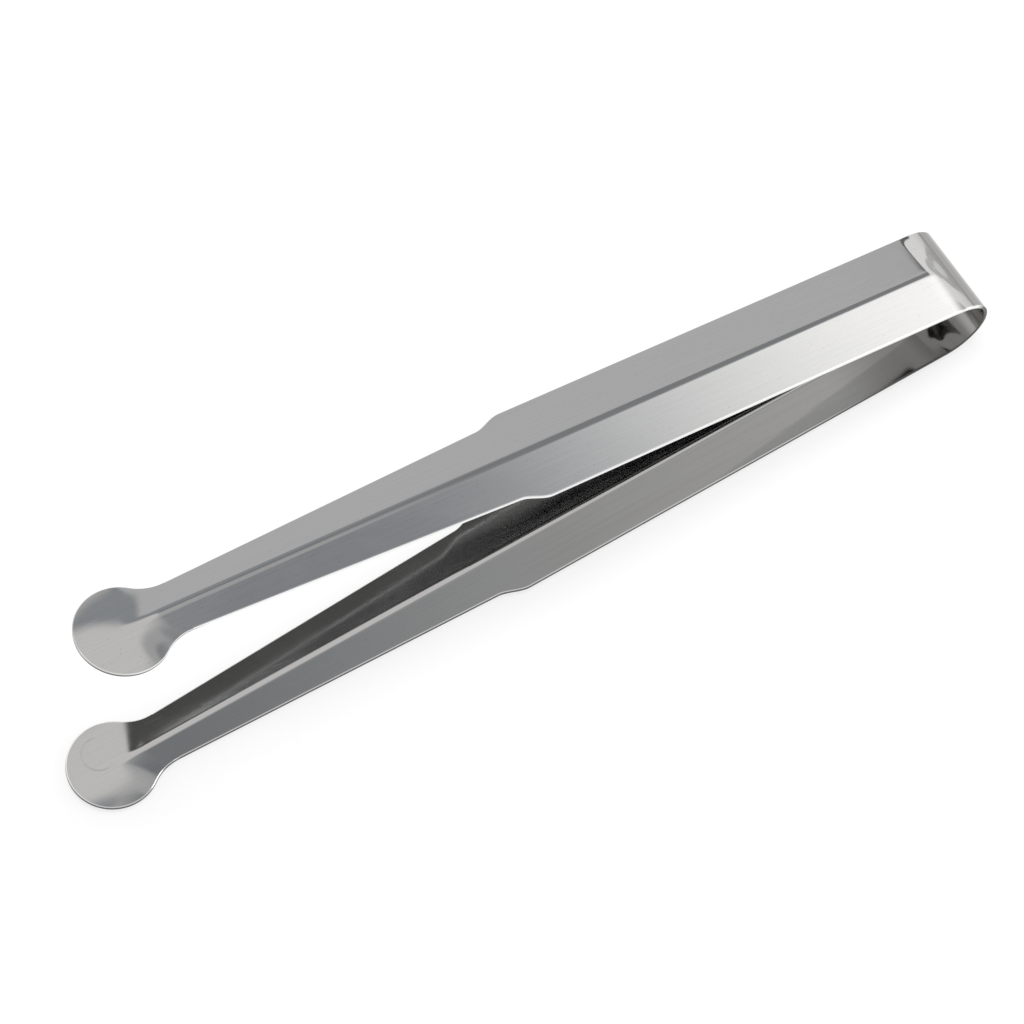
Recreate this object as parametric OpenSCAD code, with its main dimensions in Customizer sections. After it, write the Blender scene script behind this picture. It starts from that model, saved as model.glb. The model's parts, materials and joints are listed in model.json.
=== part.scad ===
// Sausage tongs, pressed from one strip of stainless spring steel.
// The strip bends round a spring bow into two arms. Each arm is folded along its middle
// into a shallow roof, steps in from the grip to a tapering shank and ends in a dished cup.
// The tongs lie on their lower arm: +Z is up, the cups point to -X and the bow to +X.
// The origin is on the table, under the middle of the tongs.

/* [Strip] */
// Thickness of the sheet
sheet_t = 0.8; // [0.5:0.05:1.2]
// Width of the strip, round the bow and along the grips
grip_w = 20; // [17:0.5:26]
// Angle by which each flange is folded in from flat
fold_angle = 8.3; // [3:0.1:12]
// Outside radius of the rounded ridge along the fold
ridge_r = 6.5; // [2:0.5:8]

/* [Bow] */
// Outside radius of the bow
bow_r = 8.65; // [7:0.05:14]
// Angle between the two arms when nothing squeezes them
spread_angle = 11.7; // [6:0.1:20]
// Length over which the fold of each arm fades out, half of it round the bow
fold_fade = 5.2; // [3:0.1:8]

/* [Arms] */
// Distance along the arm from the end of the bow to the middle of the step
step_at = 102.5; // [80:0.5:125]
// Length of the step along the arm
step_run = 6.4; // [2:0.1:10]
// Width of the shank just past the step
shank_w = 16.5; // [14:0.1:17]
// Width of the shank at its neck, where it meets the cup
neck_w = 10.8; // [8:0.1:13]

/* [Cups] */
// Distance along the arm from the end of the bow to the middle of the cup
cup_at = 187.4; // [160:0.2:220]
// Diameter of the cup
cup_d = 18.2; // [16:0.1:24]
// Depth of the cup's dish below its rim
cup_depth = 0.5; // [0.3:0.05:1.2]
// Distance by which the cup's rim lies inside the ridge line
cup_set = 0.9; // [0.5:0.05:2]
// Angle by which the cup is tipped towards the other one
cup_tilt = 1.9; // [0:0.1:5]
// Distance from the neck to the back of the cup's circle, bridged by the fillets
neck_run = 2.5; // [1.5:0.1:6]
// Distance from the middle of the cup back to the place where the fold starts to flatten
ridge_end = 7.4; // [5:0.1:8]
// Length over which the fold flattens into the dish
ridge_fade = 8.5; // [4:0.1:12]
// How much earlier the fold flattens, for each millimetre by which it rises above its ridge
edge_lead = 2.4; // [0:0.1:4]

/* [Hidden] */
$fn = 96;

steel = "#b8b9b9";

// Number of flat steps in each curved stretch of the folded sheet
ridge_steps = 2;
fold_steps = 10;
step_steps = 10;
fillet_steps = 8;
rim_steps = 24;
cup_cells = 5;
plain_cells = 1;
// The cup's outline ends this far round from its side, so that its last edge has a width
rim_end_angle = 88;
// Distance between the points from which the sheet's slope is measured
slope_gap = 0.001;

grip_half = grip_w / 2;
cup_r = cup_d / 2;
ridge_half = ridge_r * sin(fold_angle);
ridge_drop = ridge_r * (1 - cos(fold_angle));

step_start = step_at - step_run / 2;
step_end = step_at + step_run / 2;
neck_at = cup_at - cup_r - neck_run;

// Sideways slope of the shank's edge, and the edge's outward normal
taper = (neck_w - shank_w) / 2 / (neck_at - step_end);
edge_normal = [-taper, 1] / norm([-taper, 1]);
// A fillet touches the shank's edge at the neck and the cup's circle further on.
// Its places are measured from the middle of the cup.
neck_point = [neck_at - cup_at, neck_w / 2];
fillet_r = (neck_point * neck_point - cup_r * cup_r) / (2 * (cup_r - neck_point * edge_normal));
fillet_centre = neck_point + fillet_r * edge_normal;
fillet_end_angle = atan2(fillet_centre[0], fillet_centre[1]);
fillet_end = cup_at + cup_r * sin(fillet_end_angle);

// Height of the folded strip's edges above its ridge. The bow is as high as they are.
edge_drop = ridge_drop + (grip_half - ridge_half) * tan(fold_angle);
// Place of the bow's axis, with the tongs' length centred on the origin
bow_x = (cup_at + cup_r - bow_r) / 2;
bow_z = bow_r + edge_drop;

// Eases from 0 to 1 as t goes from 0 to 1
function ease(t) =
    let (u = max(0, min(1, t)))
    u * u * (3 - 2 * u);

// Half the shank's width at the distance s along the arm, as a straight taper
function taper_half(s) = shank_w / 2 + taper * (s - step_end);

// Half the strip's width at the distance s along the arm
function half_width(s) =
    s < step_start ? grip_half
    : s < step_end ? grip_half + (taper_half(s) - grip_half) * ease((s - step_start) / step_run)
    : s < neck_at ? taper_half(s)
    : s < fillet_end
        ? fillet_centre[1] - sqrt(pow(fillet_r, 2) - pow(s - cup_at - fillet_centre[0], 2))
        : sqrt(pow(cup_r, 2) - pow(s - cup_at, 2));

// Height of the fully folded roof at the distance y from the ridge
function roof(y) =
    abs(y) < ridge_half
        ? ridge_r - sqrt(pow(ridge_r, 2) - pow(y, 2))
        : ridge_drop + (abs(y) - ridge_half) * tan(fold_angle);

// Height of the dish
function dish(s, y) =
    cup_set + tan(cup_tilt) * (s - cup_at)
    - cup_depth * (1 - (pow(s - cup_at, 2) + pow(y, 2)) / pow(cup_r, 2));

// Height of the sheet's outer face above the ridge line
function height(s, y) =
    let (
        folded = ease(s / fold_fade + 1 / 2),
        dished = ease((s - cup_at + ridge_end + edge_lead * roof(y)) / ridge_fade)
    )
    (1 - dished) * (edge_drop + folded * (roof(y) - edge_drop)) + dished * dish(s, y);

// Direction from the outer face to the inner face: along the strip, across it and square to it
function inward(s, y) =
    let (
        along = (height(s + slope_gap, y) - height(s - slope_gap, y)) / (2 * slope_gap),
        across = (height(s, y + slope_gap) - height(s, y - slope_gap)) / (2 * slope_gap),
        direction = [-along, -across, 1]
    )
    direction / norm(direction);

// Angle turned round the bow at the distance s, which is negative there
function bow_angle(s) = max(0, -s) / bow_r * 180 / PI;

// Points of the sheet's outer face (depth 0) and inner face (depth sheet_t) on the lower arm
function sheet_point(s, y, depth) =
    let (
        angle = bow_angle(s),
        along = [-cos(angle), 0, -sin(angle)],
        square_on = [-sin(angle), 0, cos(angle)],
        shift = depth * inward(s, y)
    )
    [bow_x - max(0, s), y + shift[1], bow_z]
    + shift[0] * along
    + (height(s, y) + shift[2] - bow_z) * square_on;

// Distances from the ridge to the points of one cross-section, from one edge to the other
function across(s, cells) =
    let (
        half = half_width(s),
        inner = min(ridge_half, half / 2),
        side = concat(
            [for (i = [1:ridge_steps]) inner * i / ridge_steps],
            [for (i = [1:cells]) inner + (half - inner) * i / cells]
        ),
        last = len(side) - 1
    )
    concat([for (i = [last:-1:0]) -side[i]], [0], side);

// Two triangles that close the four-sided face a, b, c, d
function two_triangles(a, b, c, d) = [[a, b, c], [a, c, d]];

// A stretch of the lower arm's sheet, through the cross-sections at the given distances
module sheet(stations, cells) {
    rows = len(stations);
    cols = 2 * (ridge_steps + cells) + 1;
    points = [
        for (depth = [0, sheet_t])
            for (s = stations)
                for (y = across(s, cells))
                    sheet_point(s, y, depth)
    ];
    function at(face, row, col) = (face * rows + row) * cols + col;
    faces = [
        for (r = [0:rows - 2], c = [0:cols - 2])
            each two_triangles(at(0, r, c), at(0, r + 1, c), at(0, r + 1, c + 1), at(0, r, c + 1)),
        for (r = [0:rows - 2], c = [0:cols - 2])
            each two_triangles(at(1, r, c), at(1, r, c + 1), at(1, r + 1, c + 1), at(1, r + 1, c)),
        for (r = [0:rows - 2])
            each two_triangles(at(0, r, 0), at(1, r, 0), at(1, r + 1, 0), at(0, r + 1, 0)),
        for (r = [0:rows - 2], c = [cols - 1])
            each two_triangles(at(0, r, c), at(0, r + 1, c), at(1, r + 1, c), at(1, r, c)),
        for (c = [0:cols - 2])
            each two_triangles(at(0, 0, c), at(0, 0, c + 1), at(1, 0, c + 1), at(1, 0, c)),
        for (c = [0:cols - 2], r = [rows - 1])
            each two_triangles(at(0, r, c), at(1, r, c), at(1, r, c + 1), at(0, r, c + 1))
    ];
    polyhedron(points, faces);
}

// Turns a piece of the lower arm over onto the upper arm, about the middle of the spread
module on_upper_arm() {
    translate([bow_x, 0, bow_z])
        rotate([0, spread_angle / 2, 0])
            rotate([180, 0, 0])
                rotate([0, -spread_angle / 2, 0])
                    translate([-bow_x, 0, -bow_z])
                        children();
}

// The grip, from the start of its fold, on the bow, to the end of the step
module grip() {
    sheet(
        concat(
            [for (i = [0:fold_steps]) fold_fade * (i / fold_steps - 1 / 2)],
            [for (i = [0:step_steps]) step_start + step_run * i / step_steps]
        ),
        plain_cells
    );
}

// The tapering shank, from the step to the neck
module shank() {
    sheet([step_end, neck_at], plain_cells);
}

// The cup, with its fillets at the neck
module cup() {
    sheet(
        concat(
            [for (i = [0:fillet_steps]) neck_at + (fillet_end - neck_at) * i / fillet_steps],
            [
                for (i = [1:rim_steps])
                    let (angle = fillet_end_angle + (rim_end_angle - fillet_end_angle) * i / rim_steps)
                    cup_at + cup_r * sin(angle)
            ]
        ),
        cup_cells
    );
}

// The spring bow, from the fold of one arm round to that of the other
module spring_bow() {
    fade_angle = bow_angle(-fold_fade / 2);
    color(steel)
        translate([bow_x, 0, bow_z])
            rotate([90, 0, 0])
                rotate_extrude(angle = 180 - spread_angle - 2 * fade_angle, start = fade_angle - 90)
                    translate([bow_r - sheet_t, -grip_half])
                        square([sheet_t, grip_w]);
}

module lower_grip() {
    color(steel)
        grip();
}

module lower_shank() {
    color(steel)
        shank();
}

module lower_cup() {
    color(steel)
        cup();
}

module upper_grip() {
    color(steel)
        on_upper_arm()
            grip();
}

module upper_shank() {
    color(steel)
        on_upper_arm()
            shank();
}

module upper_cup() {
    color(steel)
        on_upper_arm()
            cup();
}

spring_bow();
lower_grip();
lower_shank();
lower_cup();
upper_grip();
upper_shank();
upper_cup();
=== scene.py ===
# Sausage tongs bent from one strip of polished stainless steel, lying on a pale table.
import json
import math

import bpy
from mathutils import Matrix, Vector


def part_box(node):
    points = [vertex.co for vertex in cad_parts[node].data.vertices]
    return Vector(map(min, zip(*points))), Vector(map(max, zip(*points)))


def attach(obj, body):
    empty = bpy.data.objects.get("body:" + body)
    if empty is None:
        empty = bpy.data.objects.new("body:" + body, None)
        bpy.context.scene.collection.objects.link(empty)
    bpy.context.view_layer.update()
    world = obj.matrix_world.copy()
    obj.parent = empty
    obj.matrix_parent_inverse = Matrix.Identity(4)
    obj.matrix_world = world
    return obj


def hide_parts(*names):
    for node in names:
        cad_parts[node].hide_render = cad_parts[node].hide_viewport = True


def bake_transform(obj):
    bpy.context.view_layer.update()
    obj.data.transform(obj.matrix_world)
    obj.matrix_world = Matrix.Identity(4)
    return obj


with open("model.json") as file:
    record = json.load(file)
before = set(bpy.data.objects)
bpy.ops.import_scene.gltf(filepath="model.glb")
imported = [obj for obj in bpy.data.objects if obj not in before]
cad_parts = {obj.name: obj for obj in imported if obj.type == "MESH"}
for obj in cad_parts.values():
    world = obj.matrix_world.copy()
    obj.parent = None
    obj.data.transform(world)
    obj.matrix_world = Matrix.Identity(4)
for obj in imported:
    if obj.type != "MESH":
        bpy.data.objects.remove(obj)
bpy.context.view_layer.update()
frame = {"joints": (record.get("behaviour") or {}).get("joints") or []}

# Sizes are in millimetres, and the finished pieces are brought to metres
MM = 0.001


def box_mm(node):
    """Lowest and highest corner of a solid of the frame, in millimetres."""
    low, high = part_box(node)
    return Vector(low) / MM, Vector(high) / MM


# The strip
SHEET_T = 0.8
FOLD_ANGLE = math.radians(8.3)
RIDGE_R = 6.5
EDGE_BREAK = 0.15

# The bow, whose axis is the joint's. It is as high above the ridge line as the folded edges are.
GRIP_HALF = box_mm("lower_grip")[1].y
RIDGE_HALF = RIDGE_R * math.sin(FOLD_ANGLE)
EDGE_DROP = RIDGE_R * (1 - math.cos(FOLD_ANGLE)) + (GRIP_HALF - RIDGE_HALF) * math.tan(FOLD_ANGLE)
BOW_AXIS = Vector(frame["joints"][0]["pos_m"]) / MM
BOW_R = BOW_AXIS.z - EDGE_DROP
SPREAD = math.radians(11.7)
FOLD_FADE = 5.2
FADE_ANGLE = FOLD_FADE / 2 / BOW_R
BOW_TURN = math.pi - SPREAD
BOW_LENGTH = BOW_R * BOW_TURN

# Places along an arm, measured from the end of the bow
SHANK_HALF = box_mm("lower_shank")[1].y
NECK_HALF = 5.4
STEP_RUN = 6.4
STEP_END = BOW_AXIS.x - box_mm("lower_grip")[0].x
STEP_START = STEP_END - STEP_RUN
NECK_AT = BOW_AXIS.x - box_mm("lower_shank")[0].x
TAPER = (NECK_HALF - SHANK_HALF) / (NECK_AT - STEP_END)

# The cup, with a fillet on each side of its neck
CUP_R = box_mm("lower_cup")[1].y
CUP_AT = BOW_AXIS.x - box_mm("lower_cup")[0].x - CUP_R
CUP_DEPTH = 0.5
CUP_SET = 0.9
CUP_TILT = math.radians(1.9)
RIDGE_END = 7.4
RIDGE_FADE = 8.5
EDGE_LEAD = 2.4
EDGE_NORMAL = Vector((-TAPER, 1.0)).normalized()
NECK_POINT = Vector((NECK_AT - CUP_AT, NECK_HALF))
FILLET_R = (NECK_POINT.length_squared - CUP_R**2) / (2 * (CUP_R - NECK_POINT.dot(EDGE_NORMAL)))
FILLET_CENTRE = NECK_POINT + FILLET_R * EDGE_NORMAL
NECK_ANGLE = math.atan2(NECK_POINT.y, -NECK_POINT.x)
FILLET_ANGLE = math.atan2(FILLET_CENTRE.y, -FILLET_CENTRE.x)

# Mesh divisions
ACROSS_CELLS = 44
FADE_CELLS = 30
FLAT_CELLS = 60
STEP_CELLS = 24
SHANK_CELLS = 60
BOW_CELLS = 110
CUP_RINGS = 40
NECK_CELLS = 18
FILLET_CELLS = 14
RIM_CELLS = 64
MIDDLE_BUNCHING = 0.5
MERGE_DISTANCE = 0.001
SHARP_ANGLE = math.radians(40)
# A point lies on the rim where its share of the way to it is above this
ON_RIM = 0.999
# A mesh edge lies on the rim where the mean of its two ends, each 0 or 1, is above this
BOTH_ENDS = 0.9
# Least cosine of a direction to the seam, which keeps the division below it safe
LEAST_COSINE = 0.1


class Number:
    """A number inside a node tree. Arithmetic on it adds Math nodes to the tree."""

    def __init__(self, tree, socket):
        self.tree = tree
        self.socket = socket

    def node(self, kind, values, **settings):
        made = self.tree.nodes.new(kind)
        for name, value in settings.items():
            setattr(made, name, value)
        for socket, value in zip(made.inputs, values):
            if isinstance(value, Number):
                self.tree.links.new(value.socket, socket)
            else:
                socket.default_value = value
        return Number(self.tree, made.outputs[0])

    def math(self, operation, *others):
        return self.node("ShaderNodeMath", (self, *others), operation=operation)

    def __add__(self, other):
        return self.math("ADD", other)

    def __sub__(self, other):
        return self.math("SUBTRACT", other)

    def __rsub__(self, other):
        return self.math("MULTIPLY", -1.0).math("ADD", other)

    def __mul__(self, other):
        return self.math("MULTIPLY", other)

    def __truediv__(self, other):
        return self.math("DIVIDE", other)

    def __neg__(self):
        return self.math("MULTIPLY", -1.0)

    def ramp(self, start, end, curve="LINEAR"):
        """0 before start, 1 after end."""
        return self.node("ShaderNodeMapRange", (self, start, end, 0.0, 1.0), interpolation_type=curve)

    def ease(self, start, end):
        return self.ramp(start, end, "SMOOTHSTEP")

    def mix(self, other, share):
        """This number where share is 0, the other where it is 1."""
        return self + (other - self) * share


def new_tree(name, sizes):
    """A geometry tree with a named input for each size, and those inputs as numbers."""
    tree = bpy.data.node_groups.new(name, "GeometryNodeTree")
    tree.interface.new_socket("Geometry", in_out="OUTPUT", socket_type="NodeSocketGeometry")
    for size in sizes:
        tree.interface.new_socket(size, in_out="INPUT", socket_type="NodeSocketFloat")
    source = tree.nodes.new("NodeGroupInput")
    return tree, {size: Number(tree, source.outputs[size]) for size in sizes}


def grid_places(tree, columns, rows):
    """A flat grid, and each point's share of its length (0 to 1) and of its width (-1 to 1)."""
    grid = tree.nodes.new("GeometryNodeMeshGrid")
    grid.inputs["Size X"].default_value = 1.0
    grid.inputs["Size Y"].default_value = 2.0
    grid.inputs["Vertices X"].default_value = columns + 1
    grid.inputs["Vertices Y"].default_value = rows + 1
    place = tree.nodes.new("GeometryNodeInputPosition")
    parts = tree.nodes.new("ShaderNodeSeparateXYZ")
    tree.links.new(place.outputs[0], parts.inputs[0])
    return grid.outputs["Mesh"], Number(tree, parts.outputs[0]) + 0.5, Number(tree, parts.outputs[1])


def combine(tree, x, y, z):
    """A vector out of three numbers."""
    made = tree.nodes.new("ShaderNodeCombineXYZ")
    for socket, value in zip(made.inputs, (x, y, z)):
        if isinstance(value, Number):
            tree.links.new(value.socket, socket)
        else:
            socket.default_value = value
    return made.outputs[0]


def store(tree, geometry, name, kind, domain, value):
    """Keeps a value on the mesh under a name."""
    made = tree.nodes.new("GeometryNodeStoreNamedAttribute")
    made.data_type = kind
    made.domain = domain
    made.inputs["Name"].default_value = name
    tree.links.new(geometry, made.inputs["Geometry"])
    tree.links.new(value, made.inputs["Value"])
    return made.outputs["Geometry"]


def end_tree(tree, geometry, place, lay, rim, rim_edge, flip):
    """Moves the grid's points to their place, keeps what the finish reads, and closes the tree."""
    geometry = store(tree, geometry, "lay", "FLOAT_VECTOR", "POINT", lay)
    geometry = store(tree, geometry, "rim", "FLOAT", "POINT", rim.socket)
    geometry = store(tree, geometry, "bevel_weight_edge", "FLOAT", "EDGE", rim_edge.socket)
    moved = tree.nodes.new("GeometryNodeSetPosition")
    tree.links.new(geometry, moved.inputs["Geometry"])
    tree.links.new(place, moved.inputs["Position"])
    merged = tree.nodes.new("GeometryNodeMergeByDistance")
    merged.inputs["Distance"].default_value = MERGE_DISTANCE
    tree.links.new(moved.outputs[0], merged.inputs["Geometry"])
    last = merged.outputs[0]
    if flip:
        turned = tree.nodes.new("GeometryNodeFlipFaces")
        tree.links.new(last, turned.inputs[0])
        last = turned.outputs[0]
    real = tree.nodes.new("GeometryNodeRealizeInstances")
    tree.links.new(last, real.inputs["Geometry"])
    finish = tree.nodes.new("GeometryNodeSetMaterial")
    finish.inputs["Material"].default_value = STEEL
    tree.links.new(real.outputs[0], finish.inputs["Geometry"])
    result = tree.nodes.new("NodeGroupOutput")
    tree.links.new(finish.outputs[0], result.inputs["Geometry"])


def bunched(share):
    """Moves points closer together at the middle, and so leaves room for the broken edges."""
    return share * (share.math("ABSOLUTE") * (1 - MIDDLE_BUNCHING) + MIDDLE_BUNCHING)


def stations(along, start, runs):
    """Distance along the arm: even steps within each run, which has its number of cells and its end."""
    cells = sum(run[0] for run in runs)
    distance = along * 0.0 + start
    before = start
    done = 0
    for count, end in runs:
        distance = distance + (end - before) * along.ramp(done / cells, (done + count) / cells)
        before = end
        done += count
    return distance


def roof(across, ridge_r, fold_angle):
    """Height of the folded roof above its ridge, with the ridge rounded."""
    away = across.math("ABSOLUTE")
    on_ridge = away.math("MINIMUM", ridge_r * fold_angle.math("SINE"))
    rounded = ridge_r - (ridge_r * ridge_r - on_ridge * on_ridge).math("SQRT")
    return rounded + (away - on_ridge) * fold_angle.math("TANGENT")


def on_long_edge(across):
    """1 on the mesh edges that run along the strip's two long edges."""
    return across.math("ABSOLUTE").math("GREATER_THAN", ON_RIM).math("GREATER_THAN", BOTH_ENDS)


STRIP_SIZES = ("Ridge Radius", "Fold Angle", "Lay Start", "Lay Sign")


def grip_tree():
    """The grip: its fold starts on the bow, and its far end steps in to the shank's width."""
    tree, size = new_tree(
        "Grip of the tongs",
        STRIP_SIZES
        + ("Bow Radius", "Edge Drop", "Fold Fade", "Grip Half")
        + ("Shank Half", "Taper", "Step Start", "Step End"),
    )
    columns = FADE_CELLS + FLAT_CELLS + STEP_CELLS
    mesh, along, across = grid_places(tree, columns, ACROSS_CELLS)
    half_fade = size["Fold Fade"] * 0.5
    runs = ((FADE_CELLS, half_fade), (FLAT_CELLS, size["Step Start"]), (STEP_CELLS, size["Step End"]))
    s = stations(along, -half_fade, runs)
    shank = size["Shank Half"] + size["Taper"] * (s - size["Step End"])
    half = size["Grip Half"].mix(shank, s.ease(size["Step Start"], size["Step End"]))
    y = half * bunched(across)
    folded = roof(y, size["Ridge Radius"], size["Fold Angle"])
    height = size["Edge Drop"].mix(folded, s.ease(-half_fade, half_fade))
    # On the bow the strip is wrapped round the bow's axis
    axis_height = size["Bow Radius"] + size["Edge Drop"]
    radius = axis_height - height
    angle = (-s).math("MAXIMUM", 0.0) / size["Bow Radius"]
    x = s.math("MAXIMUM", 0.0) - radius * angle.math("SINE")
    z = axis_height - radius * angle.math("COSINE")
    lay = combine(tree, size["Lay Start"] + size["Lay Sign"] * s, size["Lay Sign"] * y, 0.0)
    rim = half - y.math("ABSOLUTE")
    end_tree(tree, mesh, combine(tree, x, y, z), lay, rim, on_long_edge(across), flip=True)
    return tree


def shank_tree():
    """The folded shank, which tapers from the step to the neck."""
    tree, size = new_tree("Shank of the tongs", STRIP_SIZES + ("Start", "End", "Shank Half", "Taper"))
    mesh, along, across = grid_places(tree, SHANK_CELLS, ACROSS_CELLS)
    s = size["Start"].mix(size["End"], along)
    half = size["Shank Half"] + size["Taper"] * (s - size["Start"])
    y = half * bunched(across)
    z = roof(y, size["Ridge Radius"], size["Fold Angle"])
    lay = combine(tree, size["Lay Start"] + size["Lay Sign"] * s, size["Lay Sign"] * y, 0.0)
    rim = half - y.math("ABSOLUTE")
    end_tree(tree, mesh, combine(tree, s, y, z), lay, rim, on_long_edge(across), flip=True)
    return tree


def cup_tree():
    """A dished cup about its own middle, joined to the folded shank by its fillets."""
    tree, size = new_tree(
        "Dished cup",
        STRIP_SIZES
        + ("Neck Angle", "Fillet Angle", "Neck At", "Cup At", "Cup Radius", "Fillet Radius")
        + ("Fillet X", "Fillet Y", "Cup Depth", "Cup Set", "Cup Tilt")
        + ("Ridge End", "Ridge Fade", "Edge Lead"),
    )
    cells = NECK_CELLS + FILLET_CELLS + RIM_CELLS
    neck_share = NECK_CELLS / cells
    fillet_share = (NECK_CELLS + FILLET_CELLS) / cells
    mesh, ring, round_share = grid_places(tree, CUP_RINGS, 2 * cells)
    # The angle starts at the neck. Its stations meet the ends of the seam and of the fillets.
    away = round_share.math("ABSOLUTE")
    angle = (
        size["Neck Angle"] * away.ramp(0.0, neck_share)
        + (size["Fillet Angle"] - size["Neck Angle"]) * away.ramp(neck_share, fillet_share)
        + (math.pi - size["Fillet Angle"]) * away.ramp(fillet_share, 1.0)
    )
    cosine = angle.math("COSINE")
    sine = angle.math("SINE")
    to_seam = (size["Cup At"] - size["Neck At"]) / cosine.math("MAXIMUM", LEAST_COSINE)
    reach = size["Fillet Y"] * sine - size["Fillet X"] * cosine
    centre_squared = size["Fillet X"] * size["Fillet X"] + size["Fillet Y"] * size["Fillet Y"]
    tangent_squared = centre_squared - size["Fillet Radius"] * size["Fillet Radius"]
    to_fillet = reach - (reach * reach - tangent_squared).math("MAXIMUM", 0.0).math("SQRT")
    on_rim = away.math("GREATER_THAN", fillet_share)
    on_seam = away.math("LESS_THAN", neck_share)
    outline = to_fillet.mix(size["Cup Radius"], on_rim).mix(to_seam, on_seam)
    radius = outline * bunched(ring)
    off_middle = -(radius * cosine)
    s = size["Cup At"] + off_middle
    y = radius * sine * round_share.math("SIGN")
    share = (radius * radius) / (size["Cup Radius"] * size["Cup Radius"])
    tilted = size["Cup Set"] + size["Cup Tilt"].math("TANGENT") * off_middle
    dish = tilted - size["Cup Depth"] * (1.0 - share)
    # The fold flattens into the dish, first at its edges and then along the ridge
    folded = roof(y, size["Ridge Radius"], size["Fold Angle"])
    past_start = off_middle + size["Ridge End"] + size["Edge Lead"] * folded
    z = folded.mix(dish, past_start.ease(0.0, size["Ridge Fade"]))
    lay = combine(tree, size["Lay Start"] + size["Lay Sign"] * s, size["Lay Sign"] * y, 0.0)
    rim = outline - radius + on_seam * size["Cup Radius"]
    at_outline = ring.math("GREATER_THAN", ON_RIM)
    off_seam = away.math("GREATER_THAN", neck_share * ON_RIM)
    rim_edge = (at_outline * off_seam).math("GREATER_THAN", BOTH_ENDS)
    end_tree(tree, mesh, combine(tree, s, y, z), lay, rim, rim_edge, flip=False)
    return tree


def bow_tree():
    """The plain round of the bow about its own axis, between the ends of the two folds."""
    tree, size = new_tree("Spring bow", STRIP_SIZES + ("Bow Radius", "Bow Turn", "Fade Angle", "Grip Half"))
    mesh, along, across = grid_places(tree, BOW_CELLS, ACROSS_CELLS)
    turned = size["Fade Angle"].mix(size["Bow Turn"] - size["Fade Angle"], along)
    angle = turned - math.pi / 2
    y = size["Grip Half"] * bunched(across)
    place = combine(
        tree, size["Bow Radius"] * angle.math("COSINE"), y, size["Bow Radius"] * angle.math("SINE")
    )
    lay = combine(tree, size["Lay Start"] + size["Lay Sign"] * size["Bow Radius"] * turned, -y, 0.0)
    rim = size["Grip Half"] - y.math("ABSOLUTE")
    end_tree(tree, mesh, place, lay, rim, on_long_edge(across), flip=True)
    return tree


def sheet_piece(name, tree, sizes, place):
    """Runs a tree, gives the sheet its thickness and broken edges, and puts it in its place."""
    source = bpy.data.objects.new(name, bpy.data.meshes.new(name))
    bpy.context.scene.collection.objects.link(source)
    shape = source.modifiers.new("Shape", "NODES")
    shape.node_group = tree
    for socket in tree.interface.items_tree:
        if socket.item_type == "SOCKET" and socket.in_out == "INPUT":
            shape[socket.identifier] = sizes[socket.name]
    wall = source.modifiers.new("Wall", "SOLIDIFY")
    wall.thickness = SHEET_T
    wall.offset = -1.0
    wall.use_even_offset = True
    wall.use_quality_normals = True
    edges = source.modifiers.new("Edges", "BEVEL")
    edges.limit_method = "WEIGHT"
    edges.width = EDGE_BREAK
    edges.segments = 1
    graph = bpy.context.evaluated_depsgraph_get()
    mesh = bpy.data.meshes.new_from_object(
        source.evaluated_get(graph), preserve_all_data_layers=True, depsgraph=graph
    )
    mesh.transform(place)
    mesh.shade_smooth()
    mesh.set_sharp_from_angle(angle=SHARP_ANGLE)
    source.modifiers.clear()
    source.data = mesh
    return source


def noise(tree, place, scale, detail, roughness=0.5):
    """Noise over a place that is stretched by its scale along the strip and across it."""
    spread = tree.nodes.new("ShaderNodeMapping")
    spread.inputs["Scale"].default_value = (scale[0], scale[1], 1.0)
    tree.links.new(place, spread.inputs["Vector"])
    made = tree.nodes.new("ShaderNodeTexNoise")
    made.inputs["Scale"].default_value = 1.0
    made.inputs["Detail"].default_value = detail
    made.inputs["Roughness"].default_value = roughness
    tree.links.new(spread.outputs[0], made.inputs["Vector"])
    return Number(tree, made.outputs["Fac"])


def bump(tree, height, depth, below=None):
    """Raises the surface by a height between 0 and 1 times a depth in metres."""
    made = tree.nodes.new("ShaderNodeBump")
    made.inputs["Strength"].default_value = 1.0
    made.inputs["Distance"].default_value = depth
    tree.links.new(height.socket, made.inputs["Height"])
    if below is not None:
        tree.links.new(below, made.inputs["Normal"])
    return made.outputs["Normal"]


def blend_colours(tree, low, high, share):
    """One colour where share is 0, the other where it is 1. Either may come from another node."""
    made = tree.nodes.new("ShaderNodeMix")
    made.data_type = "RGBA"
    tree.links.new(share.socket, made.inputs["Factor"])
    for name, colour in (("A", low), ("B", high)):
        socket = next(s for s in made.inputs if s.name == name and s.type == "RGBA")
        if isinstance(colour, tuple):
            socket.default_value = (*colour, 1.0)
        else:
            tree.links.new(colour, socket)
    return next(s for s in made.outputs if s.type == "RGBA")


# Patterns of the steel, by their repeats in a millimetre along the strip and across it
LINES = (0.03, 4.5)
FINE_LINES = (0.12, 19.0)
STREAKS = (0.011, 0.8)
SCRATCHES = (0.09, 7.0)
SCRATCH_SLANT = math.radians(9)
WAVES = (0.015, 0.11)
HAZE = (0.09, 0.14)
SPECKS = (1.7, 2.3)

# Heights of their noise between which they rise from nothing to their full strength
LINE_RISE = (0.3, 0.7)
STREAK_RISE = (0.32, 0.68)
SCRATCH_RISE = (0.70, 0.76)
HAZE_RISE = (0.35, 0.75)
SPECK_RISE = (0.67, 0.72)

# Depths of its reliefs, in metres
WAVE_DEPTH = 1.3e-5
LINE_DEPTH = 3.0e-7
FINE_LINE_DEPTH = 2.5e-7
SCRATCH_DEPTH = 4.0e-7

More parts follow.
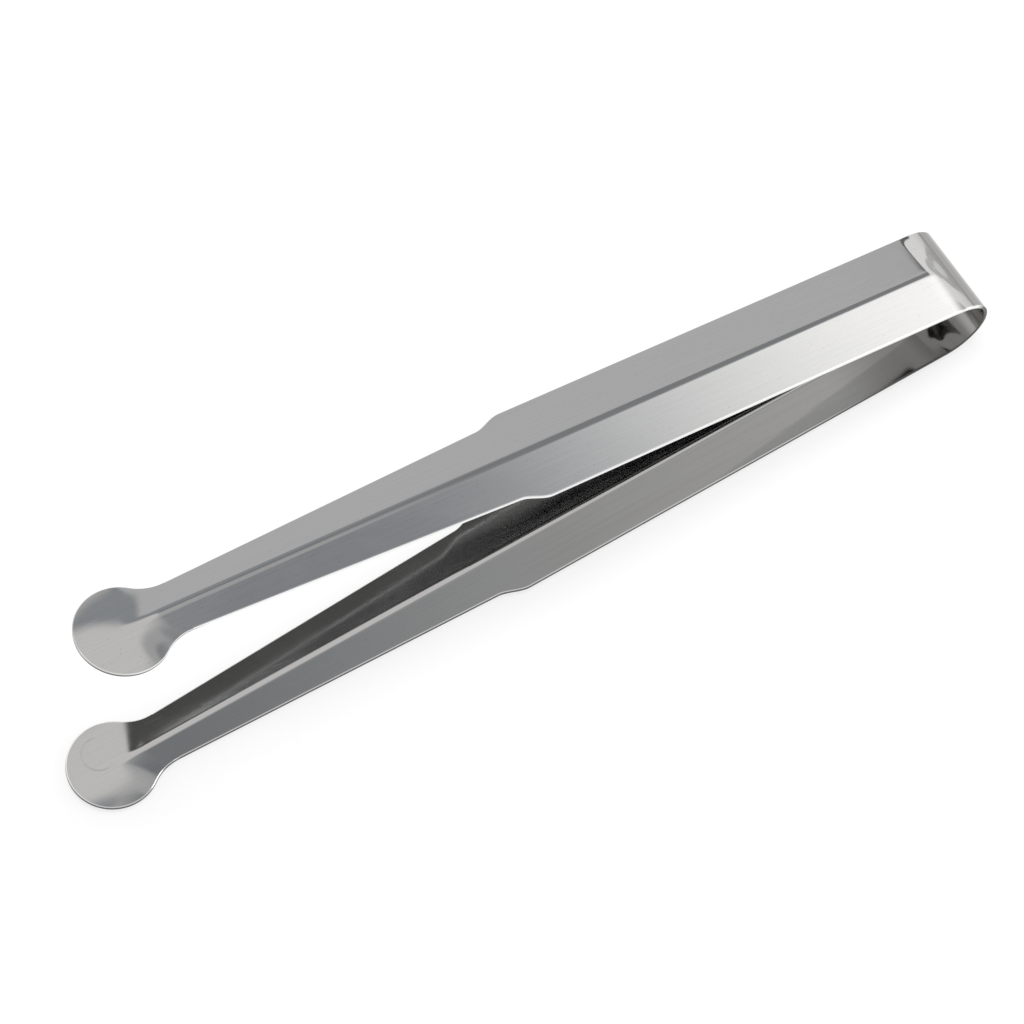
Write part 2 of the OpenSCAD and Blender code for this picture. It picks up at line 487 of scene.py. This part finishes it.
# Tones of its marks, and the most that each takes of the plain steel's tone
STEEL_DIM = (0.474, 0.478, 0.482)
STEEL_CLEAR = (0.536, 0.533, 0.529)
HAZE_SHARE = 0.3
STREAK_TONE = (0.44, 0.43, 0.42)
STREAK_SHARE = 0.55
# Painted shade on the bow
BOW_SHADE_TONE = (0.27, 0.263, 0.252)
BOW_SHADE_SHARE = 0.85
# Painted reflection: a dark ring in the lower cup
PAINTED_RING_TONE = (0.36, 0.355, 0.35)
PAINTED_RING_SHARE = 0.6
SPECK_TONE = (0.36, 0.35, 0.34)
SPECK_SHARE = 0.8
# Worn edges with a painted highlight
WORN_HIGHLIGHT_TONE = (0.93, 0.93, 0.925)
WORN_HIGHLIGHT_SHARE = 0.9
# Painted shade: the cut walls are nearly black
CUT_SHADE_TONE = (0.06, 0.06, 0.058)
CUT_SHADE_SHARE = 0.95

# Roughness of the polish, and what the marks add to it
POLISH_ROUGHNESS = 0.05
LINE_ROUGHNESS = 0.02
HAZE_ROUGHNESS = 0.03
SCRATCH_ROUGHNESS = 0.08
WORN_ROUGHNESS = 0.06
RING_ROUGHNESS = 0.08
CUT_ROUGHNESS = 0.2

# Distances from the sheet's edge between which the marks along it fade out
WORN_HIGHLIGHT_FADE = (0.12, 0.32)
WIDE_HIGHLIGHT_FADE = (0.12, 0.46)
CUT_FADE = (0.005, 0.04)
RIM_SHADE_FADE = (0.1, 0.22)
# The worn edges and their painted highlight grow from the far side, at 0, to the near side of the upper
# arm, at 1. Its range starts below 0, so that some of it is left on the far side.
FAR_SIDE_WORN_HIGHLIGHT = (-0.4, 1.0)

# Shares of the bow's length, counted up from the lower arm, between which the worn edges of the upper arm,
# with their painted highlight, end, and the painted shade on the bow starts
WORN_HIGHLIGHT_END = (0.85, 0.7)
BOW_SHADE_START = (1.0, 0.8)
# Places along the lower arm between which the painted shade on the rim gives way to worn edges with their
# painted highlight, and the painted shade on the bow ends
RIM_SHADE_END = (4.0, 40.0)
BOW_SHADE_END = (8.0, 26.0)
# Half the lengths over which a mark fades out at the upper neck, and across the middle
NECK_FADE = 4.0
MIDDLE_FADE = 1.0
# The streaks fade out from before the step to past its start
STREAK_END = (STEP_START - 12.0, STEP_START + 6.0)

# A faint, broken dark ring in the lower cup, a painted reflection: its place from the cup's middle, its
# radius, how far it fades inwards and outwards, where along the arm it fades in, and the heights of
# the haze over which it is broken
RING_PLACE = (1.2, -3.4)
RING_R = 3.4
RING_INSIDE = 0.3
RING_OUTSIDE = 0.35
RING_START = (-1.6, 0.6)
RING_BREAKS = (0.3, 0.55)


def round_bow(shares):
    """Places on the bow, for shares of its length counted up from the lower arm."""
    return [-share * BOW_LENGTH for share in shares]


def strip_steel():
    """Polished stainless strip, with a fine grain along the strip, edges rubbed bright with a painted
    highlight, nearly black cut walls and a darker bow as painted shade, and a dark ring in the lower cup as
    a painted reflection.
    """
    material = bpy.data.materials.new("Polished strip steel")
    material.use_nodes = True
    tree = material.node_tree
    shader = tree.nodes["Principled BSDF"]
    lay_node = tree.nodes.new("ShaderNodeAttribute")
    lay_node.attribute_name = "lay"
    lay = lay_node.outputs["Vector"]
    split = tree.nodes.new("ShaderNodeSeparateXYZ")
    tree.links.new(lay, split.inputs[0])
    along = Number(tree, split.outputs[0])
    across = Number(tree, split.outputs[1])
    rim_node = tree.nodes.new("ShaderNodeAttribute")
    rim_node.attribute_name = "rim"
    rim = Number(tree, rim_node.outputs["Fac"])

    # Rolling and polishing lines run along the strip. The sheet is never quite flat.
    lines = noise(tree, lay, LINES, detail=4.0, roughness=0.65).ramp(*LINE_RISE)
    fine_lines = noise(tree, lay, FINE_LINES, detail=2.0)
    waves = noise(tree, lay, WAVES, detail=1.0)
    haze = noise(tree, lay, HAZE, detail=3.0, roughness=0.6)
    specks = noise(tree, lay, SPECKS, detail=2.0, roughness=0.7).ease(*SPECK_RISE)
    # Short scratches lie a little off the grain
    slant = tree.nodes.new("ShaderNodeMapping")
    slant.inputs["Rotation"].default_value = (0.0, 0.0, SCRATCH_SLANT)
    tree.links.new(lay, slant.inputs["Vector"])
    scratches = noise(tree, slant.outputs[0], SCRATCHES, detail=1.0).ease(*SCRATCH_RISE)

    # The broken edges are rubbed bright, with a painted highlight, widest on the near side of the upper
    # arm. The cut walls of the bow, of the lower arm, which lies on the table, and of the cups are rougher
    # and painted nearly black, a painted shade.
    below = along.ease(*round_bow(WORN_HIGHLIGHT_END))
    upper_neck = BOW_LENGTH + NECK_AT
    at_upper_cup = (-along).ease(upper_neck - NECK_FADE, upper_neck + NECK_FADE)
    # Painted shade on the cut walls of the lower arm, the bow and the upper cup
    shaded_walls = below.math("MAXIMUM", at_upper_cup)
    highlight_side = across.ease(-MIDDLE_FADE, MIDDLE_FADE)
    wide = highlight_side * (1.0 - shaded_walls)
    worn_highlight = (1.0 - rim.ease(*WORN_HIGHLIGHT_FADE)).mix(1.0 - rim.ease(*WIDE_HIGHLIGHT_FADE), wide)
    worn_highlight = worn_highlight * below.math("MAXIMUM", highlight_side).ramp(*FAR_SIDE_WORN_HIGHLIGHT)
    # Painted shade on the rim: past the bow's top, as far as the start of the lower grip, the edges lose
    # their painted highlight and the dark walls reach wider
    rim_shade_zone = below * (1.0 - along.ease(*RIM_SHADE_END))
    worn_highlight = worn_highlight * (1.0 - rim_shade_zone)
    rough_shaded_cut = (1.0 - rim.ease(*CUT_FADE)).mix(1.0 - rim.ease(*RIM_SHADE_FADE), rim_shade_zone)
    rough_shaded_cut = rough_shaded_cut * shaded_walls

    # Painted reflection: a dark ring in the lower cup
    off_ring = along - (CUP_AT + RING_PLACE[0])
    ring_y = across - RING_PLACE[1]
    from_middle = (off_ring * off_ring + ring_y * ring_y).math("SQRT")
    inside = from_middle.ease(RING_R - RING_INSIDE, RING_R)
    outside = from_middle.ease(RING_R, RING_R + RING_OUTSIDE)
    ring = inside * (1.0 - outside) * off_ring.ease(*RING_START) * haze.ease(*RING_BREAKS)

    # Long polishing streaks show on the inside of the lower grip
    streaks = noise(tree, lay, STREAKS, detail=3.0, roughness=0.6).ramp(*STREAK_RISE)
    streaks = streaks * below * (1.0 - along.ease(*STREAK_END))
    # Painted shade darkens the bow and the start of the lower arm, inside and out
    bow_shade = along.ease(*round_bow(BOW_SHADE_START)) * (1.0 - along.ease(*BOW_SHADE_END))

    tone = blend_colours(tree, STEEL_DIM, STEEL_CLEAR, lines.mix(haze, HAZE_SHARE))
    # Painted light among these tones: shade on the bow and the cut walls, a highlight on the worn edges, a
    # reflection in the ring
    for colour, share in (
        (STREAK_TONE, streaks * STREAK_SHARE),
        (BOW_SHADE_TONE, bow_shade * BOW_SHADE_SHARE),
        (PAINTED_RING_TONE, ring * PAINTED_RING_SHARE),
        (SPECK_TONE, specks * SPECK_SHARE),
        (WORN_HIGHLIGHT_TONE, worn_highlight * WORN_HIGHLIGHT_SHARE),
        (CUT_SHADE_TONE, rough_shaded_cut * CUT_SHADE_SHARE),
    ):
        tone = blend_colours(tree, tone, colour, share)
    tree.links.new(tone, shader.inputs["Base Color"])
    shader.inputs["Metallic"].default_value = 1.0

    rough = lines * LINE_ROUGHNESS + POLISH_ROUGHNESS
    for mark, added in (
        (haze.ease(*HAZE_RISE), HAZE_ROUGHNESS),
        (scratches, SCRATCH_ROUGHNESS),
        (worn_highlight, WORN_ROUGHNESS),
        (ring, RING_ROUGHNESS),
        (rough_shaded_cut, CUT_ROUGHNESS),
    ):
        rough = rough + mark * added
    tree.links.new(rough.socket, shader.inputs["Roughness"])

    normal = None
    for relief, depth in (
        (waves, WAVE_DEPTH),
        (lines, LINE_DEPTH),
        (fine_lines, FINE_LINE_DEPTH),
        (scratches, SCRATCH_DEPTH),
    ):
        normal = bump(tree, relief, depth, normal)
    tree.links.new(normal, shader.inputs["Normal"])
    return material


STEEL = strip_steel()

STRIP = {"Ridge Radius": RIDGE_R, "Fold Angle": FOLD_ANGLE}
GRIP = {
    "Bow Radius": BOW_R,
    "Edge Drop": EDGE_DROP,
    "Fold Fade": FOLD_FADE,
    "Grip Half": GRIP_HALF,
    "Shank Half": SHANK_HALF,
    "Taper": TAPER,
    "Step Start": STEP_START,
    "Step End": STEP_END,
}
SHANK = {"Start": STEP_END, "End": NECK_AT, "Shank Half": SHANK_HALF, "Taper": TAPER}
CUP = {
    "Neck Angle": NECK_ANGLE,
    "Fillet Angle": FILLET_ANGLE,
    "Neck At": NECK_AT,
    "Cup At": CUP_AT,
    "Cup Radius": CUP_R,
    "Fillet Radius": FILLET_R,
    "Fillet X": FILLET_CENTRE.x,
    "Fillet Y": FILLET_CENTRE.y,
    "Cup Depth": CUP_DEPTH,
    "Cup Set": CUP_SET,
    "Cup Tilt": CUP_TILT,
    "Ridge End": RIDGE_END,
    "Ridge Fade": RIDGE_FADE,
    "Edge Lead": EDGE_LEAD,
}
BOW = {"Bow Radius": BOW_R, "Bow Turn": BOW_TURN, "Fade Angle": FADE_ANGLE, "Grip Half": GRIP_HALF}

# An arm's own frame has the end of the bow at its start and its ridge on the table. The upper arm
# is the lower arm turned over about the middle of the spread.
to_metres = Matrix.Scale(MM, 4)
lower_place = to_metres @ Matrix.Translation((BOW_AXIS.x, 0, 0)) @ Matrix.Rotation(math.pi, 4, "Z")
spread_middle = Vector((-math.cos(SPREAD / 2), 0, math.sin(SPREAD / 2)))
about_bow = Matrix.Translation(BOW_AXIS * MM)
turn_over = about_bow @ Matrix.Rotation(math.pi, 4, spread_middle) @ about_bow.inverted()
bow_place = to_metres @ Matrix.Translation(BOW_AXIS)

stretches = (("grip", grip_tree(), GRIP), ("shank", shank_tree(), SHANK), ("cup", cup_tree(), CUP))
for side, body, place, lay_start, lay_sign in (
    ("lower", "lower_arm", lower_place, 0.0, 1.0),
    ("upper", "upper_arm", turn_over @ lower_place, -BOW_LENGTH, -1.0),
):
    lay = {"Lay Start": lay_start, "Lay Sign": lay_sign}
    for stretch, tree, sizes in stretches:
        piece = sheet_piece(f"{side}_{stretch}_sheet", tree, {**STRIP, **lay, **sizes}, place)
        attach(piece, body)
        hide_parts(f"{side}_{stretch}")

bow_lay = {"Lay Start": 0.0, "Lay Sign": -1.0}
bow = sheet_piece("spring_bow_sheet", bow_tree(), {**STRIP, **bow_lay, **BOW}, bow_place)
bow_inside = BOW_R - SHEET_T
lower_end = BOW_AXIS + bow_inside * Vector((math.sin(FADE_ANGLE), 0, -math.cos(FADE_ANGLE)))
upper_angle = BOW_TURN - FADE_ANGLE
upper_end = BOW_AXIS + bow_inside * Vector((math.sin(upper_angle), 0, -math.cos(upper_angle)))
lower_end * MM
upper_end * MM
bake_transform(bow)
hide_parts("spring_bow")


# The table
FLOOR_HALF = 3.0
FLOOR_DROP = 0.0001
FLOOR_COLOUR = (0.93, 0.93, 0.93, 1.0)
FLOOR_ROUGHNESS = 0.9
# Share of plain white in the table where it is seen or mirrored. The rest keeps the shadow.
FLOOR_GLOW = 0.7
floor_mesh = bpy.data.meshes.new("table_top")
signs = ((-1, -1), (1, -1), (1, 1), (-1, 1))
corners = [(x * FLOOR_HALF, y * FLOOR_HALF, -FLOOR_DROP) for x, y in signs]
floor_mesh.from_pydata(corners, [], [(0, 1, 2, 3)])
floor = bpy.data.objects.new("table_top", floor_mesh)
bpy.context.scene.collection.objects.link(floor)
paint = bpy.data.materials.new("Pale table")
paint.use_nodes = True
table = paint.node_tree
matt = table.nodes["Principled BSDF"]
matt.inputs["Base Color"].default_value = FLOOR_COLOUR
matt.inputs["Roughness"].default_value = FLOOR_ROUGHNESS
glow = table.nodes.new("ShaderNodeEmission")
glow.inputs["Strength"].default_value = 1.0
path = table.nodes.new("ShaderNodeLightPath")
seen = Number(table, path.outputs["Is Camera Ray"])
seen = seen.math("MAXIMUM", Number(table, path.outputs["Is Glossy Ray"]))
seen = seen.math("MAXIMUM", Number(table, path.outputs["Is Transmission Ray"]))
lifted = table.nodes.new("ShaderNodeMixShader")
table.links.new((seen * FLOOR_GLOW).socket, lifted.inputs[0])
table.links.new(matt.outputs[0], lifted.inputs[1])
table.links.new(glow.outputs[0], lifted.inputs[2])
table.links.new(lifted.outputs[0], table.nodes["Material Output"].inputs["Surface"])
floor_mesh.materials.append(paint)


# The studio that the polished strip mirrors. A light's sides are azimuths, and its foot and its top
# are elevations. Each is the pair of degrees between which the light fades in or out.
HORIZON_TONE = (1.05, 1.05, 1.05)
ROOM_TONE = (0.62, 0.62, 0.62)
HORIZON_TOP = (5.0, 30.0)

# Dark surround of a grey card at the far side, paler beyond the card. Its foot is a dark line that
# climbs towards the bow's end.
CLIMB_END = 45.0
CLIMB_SLOPE = 0.6
SURROUND_SIDES = ((32.0, 35.0), (92.0, 98.0))
SURROUND_FOOT = (24.8, 25.3)
SURROUND_TOP = (52.0, 54.0)
SURROUND_TOP_RISE = 4.0
LINE_TONE = (0.13, 0.13, 0.13)
LINE_TOP = (26.8, 28.5)
DARK_TONE = (0.33, 0.334, 0.34)
DARK_SIDE = (36.0, 42.0)
GREY_TONE = (0.42, 0.44, 0.46)
# The grey ends where the azimuth is this far above the elevation
GREY_SIDE = (4.0, 9.0)
PALE_TONE = (0.69, 0.683, 0.668)
DIM_TONE = (0.292, 0.303, 0.318)
PALE_SIDE = (56.0, 78.0)

# Bright panel behind the bow, with a soft top and a soft end, and the dark gap beside it, which
# narrows towards its top
PANEL_TONE = (1.95, 1.93, 1.9)
PANEL_SIDES = ((-48.0, -44.0), (11.0, 22.0))
PANEL_FOOT = (-6.0, 14.0)
PANEL_TOP = (44.0, 54.0)
GAP_TONE = (0.385, 0.4, 0.422)
GAP_SIDE = (25.0, 30.0)
GAP_TOP = (56.0, 60.0)
NARROW_FROM = 48.0
NARROW_HEIGHT = 5.0
NARROW_SLOPE = 2.4

# Low bright wall, with a dimmer foot
WALL_SIDES = ((8.0, 16.0), (58.0, 66.0))
WALL_TONE = (1.25, 1.23, 1.22)
WALL_FOOT = (7.0, 10.0)
WALL_FOOT_TONE = (0.78, 0.775, 0.77)

# Dark post between the panel and the card, open below
POST_TONE = (0.35, 0.356, 0.365)
POST_SIDES = ((12.0, 22.0), (34.0, 36.0))
POST_FOOT = (31.0, 35.0)
POST_TOP = (47.5, 52.0)

# Grey card, whose top rises beyond its corner
CARD_TONE = (0.76, 0.75, 0.75)
CARD_SIDES = ((30.0, 32.0), (54.0, 56.0))
CARD_FOOT = (27.4, 28.0)
CARD_TOP = (38.0, 39.4)
CARD_CORNER = 47.0

# Wide soft light overhead, which reaches lowest above the card and is softer to both sides
OVERHEAD_TONE = (0.95, 0.935, 0.92)
OVERHEAD_FOOT = (49.5, 53.0)
LOWEST_AT = 37.0
RISE_BEYOND = 0.22
RISE_MOST = 8.0
RISE_BEFORE = 0.3
SOFT_BEYOND = 52.0
SOFT_BEFORE = 35.0
SOFTER_BEYOND = 0.25
SOFTER_BEFORE = 0.3

# Dark straight above and on the near side of it, up to a share of the way to the far side
ZENITH_TONE = (0.11, 0.11, 0.106)
ZENITH_FOOT = (64.0, 68.0)
ZENITH_FAR = (0.13, 0.17)


def least(number, limit):
    """The lower of two numbers."""
    return number.math("MINIMUM", limit)


def most(number, limit):
    """The higher of two numbers."""
    return number.math("MAXIMUM", limit)


def between(value, edges):
    """1 between two soft edges."""
    start, end = edges
    return value.ease(*start) * (1.0 - value.ease(*end))


def under(value, top):
    """1 below a soft top."""
    return 1.0 - value.ease(*top)


def studio():
    """Soft studio surroundings, built up from the horizon to the zenith."""
    world = bpy.data.worlds.new("Soft studio")
    bpy.context.scene.world = world
    world.use_nodes = True
    tree = world.node_tree
    direction = tree.nodes.new("ShaderNodeTexCoord")
    parts = tree.nodes.new("ShaderNodeSeparateXYZ")
    tree.links.new(direction.outputs["Generated"], parts.inputs[0])
    x, y, z = (Number(tree, socket) for socket in parts.outputs)
    to_degrees = 180 / math.pi
    azimuth = y.math("ARCTAN2", x) * to_degrees
    elevation = z.math("ARCSINE") * to_degrees

    light = blend_colours(tree, HORIZON_TONE, ROOM_TONE, elevation.ease(*HORIZON_TOP))

    climb = elevation + least((azimuth - CLIMB_END) * CLIMB_SLOPE, 0.0)
    above_foot = climb.ease(*SURROUND_FOOT)
    rise = least((azimuth - LOWEST_AT) * RISE_BEYOND, RISE_MOST)
    rise = most(rise, (LOWEST_AT - azimuth) * RISE_BEFORE)
    surround = blend_colours(tree, PALE_TONE, DIM_TONE, azimuth.ease(*PALE_SIDE))
    surround = blend_colours(tree, GREY_TONE, surround, (azimuth - elevation).ease(*GREY_SIDE))
    surround = blend_colours(tree, DARK_TONE, surround, azimuth.ease(*DARK_SIDE))
    surround = blend_colours(tree, LINE_TONE, surround, climb.ease(*LINE_TOP))
    covered = between(azimuth, SURROUND_SIDES) * above_foot
    covered = covered * under(elevation - least(rise, SURROUND_TOP_RISE), SURROUND_TOP)
    light = blend_colours(tree, light, surround, covered)

    panel_start, panel_end = PANEL_SIDES
    panel = azimuth.ease(*panel_start) * elevation.ease(*PANEL_FOOT)
    narrowing = least(most(elevation - NARROW_FROM, 0.0), NARROW_HEIGHT) * NARROW_SLOPE
    gap = panel * under(azimuth + narrowing, GAP_SIDE) * under(elevation, GAP_TOP)
    light = blend_colours(tree, light, GAP_TONE, gap)
    panel = panel * under(azimuth, panel_end) * under(elevation, PANEL_TOP)
    light = blend_colours(tree, light, PANEL_TONE, panel)

    wall = between(azimuth, WALL_SIDES)
    light = blend_colours(tree, light, WALL_FOOT_TONE, wall * under(elevation, WALL_FOOT))
    wall = wall * elevation.ease(*WALL_FOOT) * (1.0 - above_foot)
    light = blend_colours(tree, light, WALL_TONE, wall)

    post = between(azimuth, POST_SIDES) * between(elevation, (POST_FOOT, POST_TOP))
    light = blend_colours(tree, light, POST_TONE, post)

    card_height = elevation - most(azimuth - CARD_CORNER, 0.0)
    card = between(azimuth, CARD_SIDES) * climb.ease(*CARD_FOOT) * under(card_height, CARD_TOP)
    light = blend_colours(tree, light, CARD_TONE, card)

    softness = (azimuth - SOFT_BEYOND) * SOFTER_BEYOND
    softness = most(most(softness, (SOFT_BEFORE - azimuth) * SOFTER_BEFORE), 0.0)
    foot_start, foot_end = OVERHEAD_FOOT
    overhead = (elevation - rise).ease(foot_start, softness + foot_end)
    light = blend_colours(tree, light, OVERHEAD_TONE, overhead)

    light = blend_colours(tree, light, ZENITH_TONE, elevation.ease(*ZENITH_FOOT) * under(y, ZENITH_FAR))

    sky = tree.nodes["Background"]
    tree.links.new(light, sky.inputs["Color"])
    sky.inputs["Strength"].default_value = 1.0


studio()

# A large soft lamp high at the far side lights the table and gives the pale shadow
LAMP_AZIMUTH = math.radians(50)
LAMP_ELEVATION = math.radians(86)
LAMP_DISTANCE = 1.2
LAMP_SIZE = 0.6
LAMP_POWER = 9.0
lamp_data = bpy.data.lights.new("Soft lamp", "AREA")
lamp_data.shape = "SQUARE"
lamp_data.size = LAMP_SIZE
lamp_data.energy = LAMP_POWER
lamp = bpy.data.objects.new("Soft lamp", lamp_data)
lamp.visible_glossy = False
bpy.context.scene.collection.objects.link(lamp)


def direction_to(azimuth, elevation):
    """Unit vector towards an azimuth and an elevation."""
    flat = math.cos(elevation)
    return Vector((flat * math.cos(azimuth), flat * math.sin(azimuth), math.sin(elevation)))


def looking_back(from_direction):
    """Turn of a lamp or a camera that looks back along a direction."""
    return (-from_direction).to_track_quat("-Z", "Y").to_matrix().to_4x4()


lamp_direction = direction_to(LAMP_AZIMUTH, LAMP_ELEVATION)
lamp.matrix_world = Matrix.Translation(LAMP_DISTANCE * lamp_direction) @ looking_back(lamp_direction)

# The camera at the photograph's angle
CAMERA_TARGET = Vector((-0.00276, 0.00162, 0.012))
CAMERA_AZIMUTH = math.radians(-125.67)
CAMERA_ELEVATION = math.radians(63.92)
CAMERA_ROLL = math.radians(3.888)
CAMERA_DISTANCE = 0.7945
CAMERA_LENS = 143.66
CAMERA_SENSOR = 36.0
lens = bpy.data.cameras.new("Camera")
lens.lens = CAMERA_LENS
lens.sensor_width = CAMERA_SENSOR
camera = bpy.data.objects.new("Camera", lens)
bpy.context.scene.collection.objects.link(camera)
camera_direction = direction_to(CAMERA_AZIMUTH, CAMERA_ELEVATION)
camera.matrix_world = (
    Matrix.Translation(CAMERA_TARGET + CAMERA_DISTANCE * camera_direction)
    @ looking_back(camera_direction)
    @ Matrix.Rotation(CAMERA_ROLL, 4, "Z")
)
bpy.context.scene.camera = camera
bpy.context.scene.view_settings.view_transform = "Standard"
